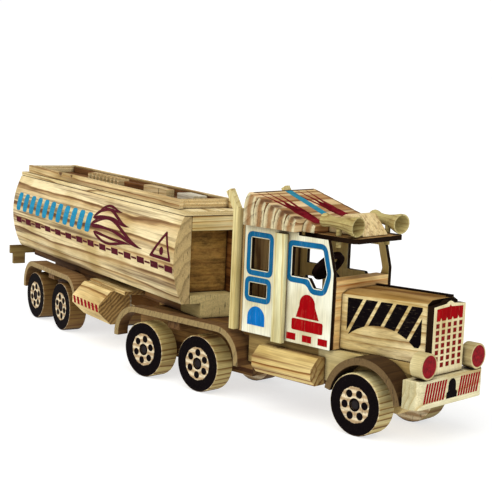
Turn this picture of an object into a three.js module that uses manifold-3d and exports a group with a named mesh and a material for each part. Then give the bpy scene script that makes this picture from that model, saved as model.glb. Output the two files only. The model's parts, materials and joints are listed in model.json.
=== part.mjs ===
// Wooden construction-kit tank lorry: a bonneted tractor unit with a sleeper cab, and a tank trailer
// that swings on the tractor's kingpin. Every piece is sawn, turned or laser-cut wood.
//
// Units are millimetres and +Z is up. Inside the model X runs forwards from the front axle, Y to the
// lorry's left and Z up from the ground; the trailer's own frame starts just ahead of its kingpin. The
// finished group is moved so that its origin is the bottom centre of its bounding box.
import * as THREE from 'three';
import { mergeVertices } from 'three/addons/utils/BufferGeometryUtils.js';
import Module from 'manifold-3d';

const wasm = await Module();
wasm.setup();

// ---- driving dimensions -------------------------------------------------------------------------
const GAP = 0.3;                    // glue-line clearance between neighbouring pieces
const PLY = 3.3;                    // laser-cut plywood thickness

const WHEEL_R = 20;
const WHEEL_OUT = 35.65;            // outer face of a wheel, from the centre line
const WHEEL_IN = 20.65;             // inner face of a wheel
const AXLE_R = 3;
const BORE_R = AXLE_R + GAP;
const FRONT_AXLE_X = 0;
const DRIVE_AXLE_X = [-140.2, -196];
const TRAILER_AXLE_X = [-197.6, -254.8];  // in the trailer's frame

const TRAILER_X = -162.2;           // origin of the trailer's frame on the tractor's centre line
const KINGPIN = [-12, -1.7];        // in the trailer's frame
const KINGPIN_R = 4;
const TRAILER_YAW = THREE.MathUtils.degToRad(-16);  // how far the trailer is swung at rest

const BEAM_HALF = 13.7;             // chassis beam half width
const BEAM_BOTTOM = 14;
const BEAM_TOP = 44;                // what the trailer's bed slides on
const BEAM_REAR_X = -224;
const BEAM_FRONT_X = 35.2;
const NECK_BOTTOM = 21.5;           // underside of the beam between the side tanks

const BASE_HALF = 26;               // block under the cab
const BASE_BOTTOM = 28;
const BASE_TOP = 48.5;
const BASE_REAR_X = -101;

const CAB_OUT = 30.06;              // outer face of a cab side
const CAB_IN = CAB_OUT - PLY;
const CAB_REAR_X = -104.6;
const CAB_FRONT_X = -27;
const CAB_BOTTOM = 48.6;
const CAB_TOP = 121.2;              // under the roof boards
const CAB_LINTEL = 119.2;           // top of a cab side beside the visor
const VISOR_BOTTOM = 118;
const VISOR_TOP = VISOR_BOTTOM + PLY;
const VISOR_FRONT_X = -13.8;
const VISOR_HALF = 24.4;

const ROOF_REAR_X = -102.5;
const ROOF_FRONT_X = -57;
const ROOF_NOSE_X = -47;            // front of the low board that stands on the visor
const ROOF_RIGHT = 34.9;            // reach of the roof boards to the right, where they are rounded
const ROOF_LEFT = 36;
const ROOF_BOARDS = 5;
const ROOF_PEAK = 142.8;            // top of the roof at its rear edge
const ROOF_SLOPE = 0.3;             // fall of the roof's top, per unit of length forwards

const COWL_FRONT_X = -26.5;
const COWL_TOP = 93.3;
const HOOD_REAR_HALF = 21;
const HOOD_FRONT_HALF = 15.8;
const HOOD_BOTTOM = 49.5;
const HOOD_FRONT_X = 36.9;
const ARCH_X = 5;                   // centre of the front mudguards' arch
const ARCH_Z = 20;
const ARCH_R = 30.3;

const TANK_FRONT_X = -3;            // tank, in the trailer's frame
const TANK_REAR_X = -323.5;
const TANK_BOTTOM = 55.3;
const TANK_TOP = 118.7;
const TANK_OPEN_HALF = 18;          // inner face of a tank side
const TANK_WIDE = 32.1;             // widest half width, at mid height
const TANK_EDGE = 24.3;             // half width at the tank's top and bottom edges
const TANK_FLOOR = 61.5;
const TANK_CEILING = 108;
const LID_TOP = 122.2;
const BED_HALF = 8.8;
const BED_BOTTOM = 44.5;

const SIDES = [{ name: 'right', s: -1 }, { name: 'left', s: 1 }];

// ---- materials ----------------------------------------------------------------------------------
const wood = (color, roughness = 0.7) => new THREE.MeshStandardMaterial({ color, roughness, metalness: 0 });
const PINE = wood(0xdcc08a);
const PALE_PLY = wood(0xe9e2c0, 0.6);
const SAPWOOD = wood(0xb9a877);
const BURNT_PINE = wood(0xc79a5e);
const BROWN = wood(0x6b4324, 0.75);
const CRIMSON = wood(0xa5132a, 0.5);
const DARK = wood(0x2a1a1c, 0.6);

// ---- geometry helpers ---------------------------------------------------------------------------
const SHAPE_TO_YZ = new THREE.Matrix4().makeBasis(
  new THREE.Vector3(0, 1, 0), new THREE.Vector3(0, 0, 1), new THREE.Vector3(1, 0, 0));

// Closed outline from a list of [u, v] points.
function outline(points) {
  return new THREE.Shape(points.map(([u, v]) => new THREE.Vector2(u, v)));
}

function circle(u, v, r) {
  const path = new THREE.Path();
  path.absarc(u, v, r, 0, Math.PI * 2);
  return path;
}

function extrude(shape, depth, curveSegments) {
  return new THREE.ExtrudeGeometry(shape, { depth, bevelEnabled: false, curveSegments });
}

// An outline drawn in X and Z, given thickness from y0 to y1.
function plateY(shape, y0, y1, curveSegments = 10) {
  const low = Math.min(y0, y1);
  const high = Math.max(y0, y1);
  return extrude(shape, high - low, curveSegments).rotateX(Math.PI / 2).translate(0, high, 0);
}

// An outline drawn in Y and Z, given thickness from x0 to x1.
function plateX(shape, x0, x1, curveSegments = 10) {
  return extrude(shape, x1 - x0, curveSegments).applyMatrix4(SHAPE_TO_YZ).translate(x0, 0, 0);
}

// An outline drawn in X and Y, given thickness from z0 to z1.
function plateZ(shape, z0, z1, curveSegments = 10) {
  return extrude(shape, z1 - z0, curveSegments).translate(0, 0, z0);
}

function box(x0, x1, ya, yb, z0, z1) {
  const y0 = Math.min(ya, yb);
  const y1 = Math.max(ya, yb);
  const geometry = new THREE.BoxGeometry(x1 - x0, y1 - y0, z1 - z0);
  return geometry.translate((x0 + x1) / 2, (y0 + y1) / 2, (z0 + z1) / 2);
}

// A round rod of radius r from point a to point b.
function rod(a, b, r, segments = 16) {
  const from = new THREE.Vector3(...a);
  const to = new THREE.Vector3(...b);
  const geometry = new THREE.CylinderGeometry(r, r, from.distanceTo(to), segments);
  const turn = new THREE.Quaternion().setFromUnitVectors(
    new THREE.Vector3(0, 1, 0), to.clone().sub(from).normalize());
  const middle = from.add(to).multiplyScalar(0.5);
  return geometry.applyQuaternion(turn).translate(middle.x, middle.y, middle.z);
}

function solid(geometry) {
  const plain = geometry.clone();
  plain.deleteAttribute('normal');
  plain.deleteAttribute('uv');
  const merged = mergeVertices(plain, 1e-4);
  const mesh = new wasm.Mesh({
    numProp: 3,
    vertProperties: new Float32Array(merged.attributes.position.array),
    triVerts: new Uint32Array(merged.index.array),
  });
  return new wasm.Manifold(mesh);
}

function geometryOf(manifold) {
  const mesh = manifold.getMesh();
  const geometry = new THREE.BufferGeometry();
  geometry.setAttribute('position', new THREE.BufferAttribute(mesh.vertProperties, 3));
  geometry.setIndex(new THREE.BufferAttribute(mesh.triVerts, 1));
  geometry.computeVertexNormals();
  return geometry;
}

function join(...geometries) {
  return geometryOf(geometries.map(solid).reduce((all, next) => all.add(next)));
}

function cut(geometry, ...tools) {
  return geometryOf(tools.map(solid).reduce((left, tool) => left.subtract(tool), solid(geometry)));
}

function piece(parent, name, geometry, material) {
  const mesh = new THREE.Mesh(geometry, material);
  mesh.name = name;
  parent.add(mesh);
}

// ---- shared pieces ------------------------------------------------------------------------------
// A turned wheel with a bore, as a closed ring, and with its axis along Y.
function wheelGeometry(y0, y1) {
  const CHAMFER = 0.6;
  const profile = [
    [BORE_R, y0], [WHEEL_R - CHAMFER, y0], [WHEEL_R, y0 + CHAMFER],
    [WHEEL_R, y1 - CHAMFER], [WHEEL_R - CHAMFER, y1], [BORE_R, y1], [BORE_R, y0],
  ];
  return new THREE.LatheGeometry(profile.map(([r, y]) => new THREE.Vector2(r, y)), 32);
}

// An axle with a wheel at each end, in a group placed at the axle's own centre.
function wheelset(parent, name, x) {
  const group = new THREE.Group();
  group.position.set(x, 0, WHEEL_R);
  parent.add(group);
  const AXLE_END = WHEEL_OUT - 0.4;
  piece(group, `${name}_axle`, rod([0, -AXLE_END, 0], [0, AXLE_END, 0], AXLE_R), SAPWOOD);
  for (const { name: side, s } of SIDES) {
    const y0 = s > 0 ? WHEEL_IN : -WHEEL_OUT;
    piece(group, `${name}_wheel_${side}`, wheelGeometry(y0, y0 + WHEEL_OUT - WHEEL_IN), PINE);
  }
}

// Double-axle mudguard: a long flat top, curved down at both ends, on a web that lies between the two
// wheels and reaches in to the chassis.
function longFender({ s, rearX, frontX, top, endR, rearZ, frontZ, yIn, yOut, frontIn, web }) {
  const THICK = 4.5;
  const WEB_TOP = BEAM_TOP;         // clear of the trailer's bed, which swings above it
  const low = top - THICK;
  const centreZ = top - endR;
  const innerR = endR - THICK;
  const rearC = rearX + endR;
  const frontC = frontX - endR;
  const strip = new THREE.Shape();
  strip.moveTo(rearX, rearZ);
  strip.lineTo(rearX, centreZ);
  strip.absarc(rearC, centreZ, endR, Math.PI, Math.PI / 2, true);
  strip.lineTo(frontC, top);
  strip.lineTo(frontC, low);
  strip.lineTo(rearC, low);
  strip.absarc(rearC, centreZ, innerR, Math.PI / 2, Math.PI, false);
  strip.lineTo(rearX + THICK, rearZ);
  const end = new THREE.Shape();
  end.moveTo(frontC - 1, top);
  end.lineTo(frontC, top);
  end.absarc(frontC, centreZ, endR, Math.PI / 2, 0, true);
  end.lineTo(frontX, frontZ);
  end.lineTo(frontX - THICK, frontZ);
  end.lineTo(frontX - THICK, centreZ);
  end.absarc(frontC, centreZ, innerR, 0, Math.PI / 2, false);
  end.lineTo(frontC - 1, low);
  return join(
    plateY(strip, s * yIn, s * yOut),
    plateY(end, s * frontIn, s * yOut),
    box(web.x0, web.x1, s * web.yIn, s * web.yOut, web.z0, WEB_TOP),
    box(web.x0, web.x1, s * yIn, s * web.yOut, web.z0, low + 1));
}

// ---- tractor ------------------------------------------------------------------------------------
function chassisBeam() {
  const DECK_HALF = 19.2;           // the part that carries the bonnet and the front mudguards
  const DECK_BOTTOM = 42.4;
  const deckTop = HOOD_BOTTOM - GAP;
  const saddleFront = BASE_REAR_X - GAP;
  const side = outline([
    [BEAM_REAR_X, BEAM_BOTTOM], [-108, BEAM_BOTTOM], [-108, NECK_BOTTOM], [-16, NECK_BOTTOM],
    [-16, BEAM_BOTTOM], [17, BEAM_BOTTOM], [23, 20], [BEAM_FRONT_X, 23], [BEAM_FRONT_X, deckTop],
    [COWL_FRONT_X + GAP, deckTop], [COWL_FRONT_X + GAP, BASE_BOTTOM - GAP],
    [saddleFront, BASE_BOTTOM - GAP], [saddleFront, BEAM_TOP], [BEAM_REAR_X, BEAM_TOP],
  ]);
  for (const x of [FRONT_AXLE_X, ...DRIVE_AXLE_X]) {
    side.holes.push(circle(x, WHEEL_R, BORE_R));
  }
  const beam = plateY(side, -BEAM_HALF, BEAM_HALF, 8);
  const deck = box(COWL_FRONT_X + GAP, BEAM_FRONT_X, -DECK_HALF, DECK_HALF, DECK_BOTTOM, deckTop);
  const SOCKET_BOTTOM = 27;
  const pin = new THREE.Vector3(...KINGPIN, 0).applyAxisAngle(new THREE.Vector3(0, 0, 1), TRAILER_YAW);
  const socketX = TRAILER_X + pin.x;
  const socket = rod([socketX, pin.y, SOCKET_BOTTOM], [socketX, pin.y, BEAM_TOP + 1], KINGPIN_R + GAP);
  return cut(join(beam, deck), socket);
}

// Block under the cab, with a wing on each side that fills the corner behind the front mudguard.
function cabBase() {
  const WING_IN = 19.5;
  const frontX = COWL_FRONT_X - GAP;
  const block = box(BASE_REAR_X, frontX, -BASE_HALF, BASE_HALF, BASE_BOTTOM, BASE_TOP);
  const wings = SIDES.map(({ s }) => box(frontX - 1, ARCH_X, s * WING_IN, s * BASE_HALF,
    BASE_BOTTOM, BASE_TOP));
  const reach = BASE_HALF + 5;
  const arch = rod([ARCH_X, -reach, ARCH_Z], [ARCH_X, reach, ARCH_Z], ARCH_R + GAP + 0.05, 64);
  return cut(join(block, ...wings), arch);
}

// Cab side with a quarter light, a small locker window and a door window with a dropped front corner.
function cabSide() {
  const LINTEL_X = ROOF_FRONT_X - GAP;
  const side = outline([
    [CAB_REAR_X, CAB_BOTTOM], [CAB_FRONT_X, CAB_BOTTOM], [-26.7, 98], [-32.5, CAB_LINTEL],
    [LINTEL_X, CAB_LINTEL], [LINTEL_X, CAB_TOP], [CAB_REAR_X, CAB_TOP],
  ]);
  side.holes.push(outline([[-98.3, 92], [-82.7, 92], [-82.7, 113.2], [-98.3, 113.2]]));
  side.holes.push(outline([[-99, 74], [-83.5, 74], [-83.5, 82.8], [-99, 82.8]]));
  side.holes.push(outline([
    [-62, 111.5], [-36.4, 111.9], [-32.3, 97], [-35.5, 86.8], [-42.8, 86.7], [-47, 92.5], [-62, 92.4],
  ]));
  return side;
}

// Bonnet block: narrower and a little higher towards the front, with bevelled top edges.
function hood() {
  const REAR_EDGE = 84.8;
  const FRONT_RISE = 2.2;
  const BEVEL_IN = 6;
  const BEVEL_UP = 2.4;
  const half = HOOD_REAR_HALF;
  const rearX = COWL_FRONT_X + GAP;
  const section = outline([
    [-half, HOOD_BOTTOM], [half, HOOD_BOTTOM], [half, REAR_EDGE],
    [half - BEVEL_IN, REAR_EDGE + BEVEL_UP], [BEVEL_IN - half, REAR_EDGE + BEVEL_UP], [-half, REAR_EDGE],
  ]);
  const geometry = plateX(section, rearX, HOOD_FRONT_X);
  const place = geometry.attributes.position;
  for (let i = 0; i < place.count; i += 1) {
    const t = (place.getX(i) - rearX) / (HOOD_FRONT_X - rearX);
    place.setY(i, place.getY(i) * THREE.MathUtils.lerp(1, HOOD_FRONT_HALF / HOOD_REAR_HALF, t));
    if (place.getZ(i) > REAR_EDGE - 1) {
      place.setZ(i, place.getZ(i) + FRONT_RISE * t);
    }
  }
  return geometry;
}

const BUMPER_TOP = 43.1;

function radiator() {
  const HALF = 16.6;
  const BOTTOM = BUMPER_TOP + GAP;
  const SHOULDER = 86;
  const PEAK = 88.8;
  const face = new THREE.Shape();
  face.moveTo(-HALF, BOTTOM);
  face.lineTo(HALF, BOTTOM);
  face.lineTo(HALF, SHOULDER);
  face.lineTo(4, SHOULDER + 1.2);
  face.quadraticCurveTo(2, PEAK, 0, PEAK);
  face.quadraticCurveTo(-2, PEAK, -4, SHOULDER + 1.2);
  face.lineTo(-HALF, SHOULDER);
  return plateX(face, HOOD_FRONT_X + GAP, 42.4, 3);
}

function bumper() {
  const REAR_X = 35.6;
  const FRONT_X = 47.2;
  const HALF = 35.5;
  const CORNER_R = 6;
  const plan = new THREE.Shape();
  plan.moveTo(REAR_X, -HALF);
  plan.lineTo(FRONT_X - CORNER_R, -HALF);
  plan.absarc(FRONT_X - CORNER_R, CORNER_R - HALF, CORNER_R, -Math.PI / 2, 0, false);
  plan.absarc(FRONT_X - CORNER_R, HALF - CORNER_R, CORNER_R, 0, Math.PI / 2, false);
  plan.lineTo(REAR_X, HALF);
  return plateZ(plan, 25.4, BUMPER_TOP, 6);
}

// Headlamp: a short turned cylinder that lies on the bumper.
function headlamp(s) {
  const Y = 26;
  const R = 8.2;
  const Z = BUMPER_TOP + GAP + 0.1 + R;
  return rod([39, s * Y, Z], [47.8, s * Y, Z], R, 28);
}

function frontFender(s) {
  const THICK = 4.5;
  const START = THREE.MathUtils.degToRad(12);
  const arch = new THREE.Shape();
  arch.absarc(ARCH_X, ARCH_Z, ARCH_R, START, Math.PI - START, false);
  arch.absarc(ARCH_X, ARCH_Z, ARCH_R - THICK, Math.PI - START, START, true);
  return plateY(arch, s * 19.6, s * 36, 16);
}

function driveFender(s) {
  return longFender({
    s, rearX: -228.3, frontX: -101.5, top: 50, endR: 22, rearZ: 26, frontZ: 25,
    yIn: 26.4, yOut: 36, frontIn: 21.7,
    web: { x0: -174, x1: -162, yIn: BEAM_HALF + GAP, yOut: 33, z0: 39.5 },
  });
}

// Eight-sided side tank that doubles as the cab's step.
function fuelTank(s) {
  const IN = BASE_HALF + GAP;
  const OUT = 40.6;
  const section = outline([
    [s * IN, 25], [s * 35.5, 25], [s * OUT, 30], [s * OUT, 36.6], [s * 34, 43], [s * IN, 43],
  ]);
  return plateX(section, -84.5, -33);
}

// Exhaust stack: an upright stick with a short length leaning back on its top. The left one stands
// nearer to the middle.
function exhaust(s) {
  const STICK = 4.7;
  const DEEP = 7;
  const FOOT_Z = 49.8;
  const KNEE_Z = 131.5;
  const TIP_LENGTH = 15;
  const LEAN = THREE.MathUtils.degToRad(-31.5);
  const x0 = -112;
  const outer = s > 0 ? 24.6 : 35;
  const post = box(x0, x0 + STICK, s * (outer - DEEP), s * outer, FOOT_Z, KNEE_Z);
  const tip = new THREE.BoxGeometry(STICK - 0.2, STICK - 0.2, TIP_LENGTH)
    .translate(0, 0, TIP_LENGTH / 2)
    .rotateY(LEAN)
    .translate(x0 + STICK / 2, s * (outer - STICK / 2 - 0.05), KNEE_Z - 1.2);
  return join(post, tip);
}

// Roof board: a section between x0 and x1 with a round right shoulder and an almost square left one,
// planed down to the roof's sloping top.
function roofBoard(x0, x1, right, left, bottom) {
  const slopeTop = (x) => ROOF_PEAK - ROOF_SLOPE * (x - ROOF_REAR_X);
  const top = slopeTop(x0) + 0.4;
  const rise = Math.min(12, top - bottom - 1);
  const round = Math.min(6.6, rise);
  const EDGE = 1.8;
  const section = new THREE.Shape();
  section.moveTo(-right, bottom);
  section.lineTo(left, bottom);
  section.absarc(left - EDGE, top - EDGE, EDGE, 0, Math.PI / 2, false);
  section.absellipse(round - right, top - rise, round, rise, Math.PI / 2, Math.PI, false);
  const MARGIN = 5;
  const planed = outline([
    [x0 - MARGIN, bottom - MARGIN], [x1 + MARGIN, bottom - MARGIN],
    [x1 + MARGIN, slopeTop(x1 + MARGIN)], [x0 - MARGIN, slopeTop(x0 - MARGIN)],
  ]);
  const board = solid(plateX(section, x0, x1, 8));
  return geometryOf(board.intersect(solid(plateY(planed, -50, 50))));
}

const HORN_LENGTH = 29;
const HORN_PEG_R = 1.9;
// Where each horn's bell ends, how far the horn is turned about Z, and where its peg stands.
const HORNS = {
  right: { bell: [-15.8, -21, 128.4], yaw: 0, peg: [-31.5, -21] },
  left: { bell: [-13.5, 20.5, 128.5], yaw: -12, peg: [-25, 21] },
};

// Turned horn: a collar, a thin neck and a hollow bell, on a peg that goes through the visor.
function horn({ bell, yaw, peg }) {
  const DROOP = 4;
  const profile = [
    [0, 0], [4.2, 0], [4.6, 1.2], [4.4, 3.4], [3.5, 6.5], [3.4, 10], [3.9, 16], [5, 21.5],
    [6.5, 27], [6.7, 29], [5.7, 29], [4.3, 23.5], [2.1, 20], [0, 19.4],
  ];
  const body = new THREE.LatheGeometry(profile.map(([r, l]) => new THREE.Vector2(r, l)), 20)
    .translate(0, -HORN_LENGTH, 0)
    .rotateZ(-Math.PI / 2)
    .rotateY(THREE.MathUtils.degToRad(DROOP))
    .rotateZ(THREE.MathUtils.degToRad(yaw))
    .translate(...bell);
  const pegRod = rod([...peg, 113.8], [...peg, bell[2] + 0.6], HORN_PEG_R, 10);
  return join(body, pegRod);
}

function visor() {
  const CORNER = 2.5;
  const rear = ROOF_FRONT_X;
  const plan = outline([
    [rear, -VISOR_HALF], [VISOR_FRONT_X - CORNER, -VISOR_HALF], [VISOR_FRONT_X, CORNER - VISOR_HALF],
    [VISOR_FRONT_X, VISOR_HALF - CORNER], [VISOR_FRONT_X - CORNER, VISOR_HALF], [rear, VISOR_HALF],
  ]);
  for (const { peg } of Object.values(HORNS)) {
    plan.holes.push(circle(...peg, HORN_PEG_R + GAP));
  }
  return plateZ(plan, VISOR_BOTTOM, VISOR_TOP, 6);
}

// Wind deflector between the horns.
function windDeflector() {
  const foot = VISOR_TOP + GAP;
  const HALF = 12.8;
  const section = outline([
    [ROOF_NOSE_X + GAP, foot], [-18, foot], [-29, 134.4], [-34, 134.4], [ROOF_NOSE_X + GAP, 126],
  ]);
  return plateY(section, -HALF, HALF);
}

const COLUMN_TILT = THREE.MathUtils.degToRad(40);
const STEERING_HUB = [-51, -5, 97];
const COLUMN_R = 2;
const COLUMN_LENGTH = 23;

function columnEnd(length) {
  const [x, y, z] = STEERING_HUB;
  return [x + length * Math.cos(COLUMN_TILT), y, z - length * Math.sin(COLUMN_TILT)];
}

// Steering wheel: a flat three-spoked ring on its column, which turns in the cowl.
function steeringWheel() {
  const RIM_R = 12;
  const HOLE_R = 8.2;
  const THICK = 3.2;
  const face = new THREE.Shape();
  face.absarc(0, 0, RIM_R, 0, Math.PI * 2);
  face.holes.push(circle(0, 0, HOLE_R));
  const rim = plateZ(face, 0, THICK, 20);
  const arms = [90, 210, 330].map((angle) => box(1, HOLE_R + 1, -1.6, 1.6, 0.3, THICK - 0.3)
    .rotateZ(THREE.MathUtils.degToRad(angle)));
  const hub = plateZ(outline([[3, 3], [-3, 3], [-3, -3], [3, -3]]), 0, THICK);
  const wheel = join(rim, ...arms, hub)
    .rotateY(COLUMN_TILT - Math.PI / 2)
    .translate(...STEERING_HUB);
  return join(wheel, rod(columnEnd(-2), columnEnd(COLUMN_LENGTH), COLUMN_R, 12));
}

function cowl() {
  const REAR_X = -36.5;
  const block = box(REAR_X, COWL_FRONT_X, GAP - CAB_IN, CAB_IN - GAP, BASE_TOP + GAP, COWL_TOP);
  const bore = rod(columnEnd(12), columnEnd(COLUMN_LENGTH + 0.5), COLUMN_R + GAP, 12);
  return cut(block, bore);
}

function buildTractor(tractor) {
  piece(tractor, 'chassis_beam', chassisBeam(), SAPWOOD);
  piece(tractor, 'cab_base', cabBase(), SAPWOOD);
  const rearWallX = CAB_REAR_X - GAP;
  piece(tractor, 'cab_rear_wall', box(rearWallX - 2.2, rearWallX, -CAB_OUT, CAB_OUT,
    CAB_BOTTOM, CAB_TOP), BROWN);
  piece(tractor, 'cowl_block', cowl(), BURNT_PINE);
  piece(tractor, 'hood_block', hood(), PINE);
  piece(tractor, 'radiator', radiator(), PALE_PLY);
  piece(tractor, 'bumper', bumper(), PINE);
  piece(tractor, 'visor', visor(), PINE);
  piece(tractor, 'wind_deflector', windDeflector(), PINE);
  const pitch = (ROOF_FRONT_X - ROOF_REAR_X) / ROOF_BOARDS;
  for (let i = 0; i < ROOF_BOARDS; i += 1) {
    const x0 = ROOF_REAR_X + i * pitch;
    piece(tractor, `roof_board_${i + 1}`,
      roofBoard(x0, x0 + pitch - GAP, ROOF_RIGHT, ROOF_LEFT, CAB_TOP + GAP), PINE);
  }
  piece(tractor, `roof_board_${ROOF_BOARDS + 1}`,
    roofBoard(ROOF_FRONT_X, ROOF_NOSE_X, 27, 27, VISOR_TOP + GAP), PINE);
  for (const { name, s } of SIDES) {
    piece(tractor, `cab_side_${name}`, plateY(cabSide(), s * CAB_IN, s * CAB_OUT), PALE_PLY);
    piece(tractor, `cab_strip_${name}`, box(-74.5, -65.3, s * (CAB_OUT + GAP), s * 34, 47, 119.3), PALE_PLY);
    piece(tractor, `headlamp_${name}`, headlamp(s), CRIMSON);
    piece(tractor, `front_fender_${name}`, frontFender(s), SAPWOOD);
    piece(tractor, `drive_fender_${name}`, driveFender(s), SAPWOOD);
    piece(tractor, `fuel_tank_${name}`, fuelTank(s), PINE);
    piece(tractor, `exhaust_${name}`, exhaust(s), SAPWOOD);
    piece(tractor, `horn_${name}`, horn(HORNS[name]), SAPWOOD);
  }
  piece(tractor, 'steering_wheel', steeringWheel(), DARK);
  wheelset(tractor, 'front', FRONT_AXLE_X);
  DRIVE_AXLE_X.forEach((x, i) => wheelset(tractor, `drive_${i + 1}`, x));
}

// ---- trailer ------------------------------------------------------------------------------------
// Bed: the tank's floor board on a narrow spine, with a deep block that carries both axles and a wider
// one at the front that carries the kingpin.
function trailerBed() {
  const SPINE_REAR_X = -327.7;
  const BLOCK_REAR_X = -277;
  const BLOCK_FRONT_X = -176;
  const side = outline([
    [SPINE_REAR_X, BED_BOTTOM], [BLOCK_REAR_X, BED_BOTTOM], [BLOCK_REAR_X, BEAM_BOTTOM],
    [BLOCK_FRONT_X, BEAM_BOTTOM], [BLOCK_FRONT_X, BED_BOTTOM], [TANK_FRONT_X, BED_BOTTOM],
    [TANK_FRONT_X, TANK_BOTTOM + 1], [SPINE_REAR_X, TANK_BOTTOM + 1],
  ]);
  for (const x of TRAILER_AXLE_X) {
    side.holes.push(circle(x, WHEEL_R, BORE_R));
  }
  const spine = plateY(side, -BED_HALF, BED_HALF, 8);
  const half = TANK_OPEN_HALF - GAP;
  const floor = box(TANK_REAR_X, TANK_FRONT_X, -half, half, TANK_BOTTOM, TANK_FLOOR);
  const frontBlock = box(-33, TANK_FRONT_X, -BED_HALF, 17, BED_BOTTOM, TANK_BOTTOM + 1);
  const kingpin = rod([...KINGPIN, 30], [...KINGPIN, BED_BOTTOM + 1], KINGPIN_R);
  return join(spine, floor, frontBlock, kingpin);
}

// Tank side: a thick plank with a flat inner face and an outer face rounded to one large radius.
function tankSide(s) {
  const half = (TANK_TOP - TANK_BOTTOM) / 2;
  const bulge = TANK_WIDE - TANK_EDGE;
  const radius = (half * half + bulge * bulge) / (2 * bulge);
  const sweep = Math.asin(half / radius);
  const STEPS = 12;
  const points = [[s * TANK_OPEN_HALF, TANK_TOP], [s * TANK_OPEN_HALF, TANK_BOTTOM]];
  for (let i = 0; i <= STEPS; i += 1) {
    const angle = THREE.MathUtils.lerp(-sweep, sweep, i / STEPS);
    const y = TANK_WIDE - radius + radius * Math.cos(angle);
    points.push([s * y, TANK_BOTTOM + half + radius * Math.sin(angle)]);
  }
  return plateX(outline(points), TANK_REAR_X, TANK_FRONT_X);
}

// Hatch surround on the lid: two long rails with a cross rail near each end.
function hatchFrame() {
  const REAR_X = -310;
  const FRONT_X = -14.5;
  const HALF = 22.6;
  const WALL = 3.2;
  const INSET = 4;
  const z0 = LID_TOP + GAP;
  const z1 = 129.2;
  const rails = SIDES.map(({ s }) => box(REAR_X, FRONT_X, s * (HALF - WALL), s * HALF, z0, z1));
  const inner = HALF - WALL + 0.5;
  const cross = [REAR_X + INSET, FRONT_X - INSET - WALL]
    .map((x) => box(x, x + WALL, -inner, inner, z0, z1));
  return join(...rails, ...cross);
}

function trailerFender(s) {
  return longFender({
    s, rearX: -283, frontX: -166.6, top: 48.5, endR: 20, rearZ: 24, frontZ: 28,
    yIn: 21.7, yOut: 36, frontIn: 21.7,
    web: { x0: -232.2, x1: -220.2, yIn: BED_HALF + GAP, yOut: 33, z0: 39 },
  });
}

// Eight-sided locker that hangs from a thin plank beside the bed.
function sideLocker(s) {
  const section = outline([
    [s * 18, 20.5], [s * 29.5, 20.5], [s * 40, 30.5], [s * 40, 36.5],
    [s * 30, 47], [s * 18, 47], [s * 13, 42], [s * 13, 25.5],
  ]);
  const plank = box(-160, -94, s * (BED_HALF + GAP), s * 26, 46.6, 49.4);
  return join(plateX(section, -163, -111), plank);
}

// Rear plate: a cross bar with two hanging lamp tabs, cut from plywood.
function rearPlate() {
  const HALF = 32;
  const TOP = 53.6;
  const BAR_BOTTOM = 46.2;
  const TAB_BOTTOM = 36.5;
  const TAB_IN = 17.7;
  const TAB_OUT = 29;
  const face = outline([
    [-HALF, TOP], [-HALF, BAR_BOTTOM], [-TAB_OUT, BAR_BOTTOM], [-TAB_OUT, TAB_BOTTOM],
    [-TAB_IN, TAB_BOTTOM], [-TAB_IN, BAR_BOTTOM], [TAB_IN, BAR_BOTTOM], [TAB_IN, TAB_BOTTOM],
    [TAB_OUT, TAB_BOTTOM], [TAB_OUT, BAR_BOTTOM], [HALF, BAR_BOTTOM], [HALF, TOP],
  ]);
  return plateX(face, -331.6, -328);
}

function buildTrailer(trailer) {
  const open = TANK_OPEN_HALF - GAP;
  const END_INSET = 12;             // how far each end wall is set back into the tank
  piece(trailer, 'trailer_bed', trailerBed(), PINE);
  piece(trailer, 'tank_top_board', box(TANK_REAR_X, TANK_FRONT_X, -open, open,
    TANK_CEILING, TANK_TOP), PINE);
  const wallLow = TANK_FLOOR + GAP;
  const wallHigh = TANK_CEILING - GAP;
  piece(trailer, 'tank_front_wall', box(TANK_FRONT_X - END_INSET - PLY, TANK_FRONT_X - END_INSET,
    -open, open, wallLow, wallHigh), BROWN);
  piece(trailer, 'tank_rear_wall', box(TANK_REAR_X + END_INSET, TANK_REAR_X + END_INSET + PLY,
    -open, open, wallLow, wallHigh), BROWN);
  piece(trailer, 'tank_lid', box(TANK_REAR_X, TANK_FRONT_X + 0.6, -24.2, 24.2,
    TANK_TOP + GAP, LID_TOP), PINE);
  piece(trailer, 'hatch_frame', hatchFrame(), PINE);
  piece(trailer, 'rear_plate', rearPlate(), BURNT_PINE);
  for (const { name, s } of SIDES) {
    piece(trailer, `tank_side_${name}`, tankSide(s), PINE);
    piece(trailer, `trailer_fender_${name}`, trailerFender(s), SAPWOOD);
    piece(trailer, `side_locker_${name}`, sideLocker(s), PINE);
  }
  TRAILER_AXLE_X.forEach((x, i) => wheelset(trailer, `trailer_${i + 1}`, x));
}

// ---- assembly -----------------------------------------------------------------------------------
const lorry = new THREE.Group();
const tractor = new THREE.Group();
const trailer = new THREE.Group();
buildTractor(tractor);
buildTrailer(trailer);
trailer.position.x = TRAILER_X;
trailer.rotation.z = TRAILER_YAW;
lorry.add(tractor, trailer);

const bounds = new THREE.Box3().setFromObject(lorry, true);
const centre = bounds.getCenter(new THREE.Vector3());
lorry.position.set(-centre.x, -centre.y, -bounds.min.z);

export default lorry;
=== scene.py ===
import json
import math
import zlib

import bmesh
import bpy
from mathutils import Matrix, Vector
from mathutils.geometry import tessellate_polygon


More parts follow.
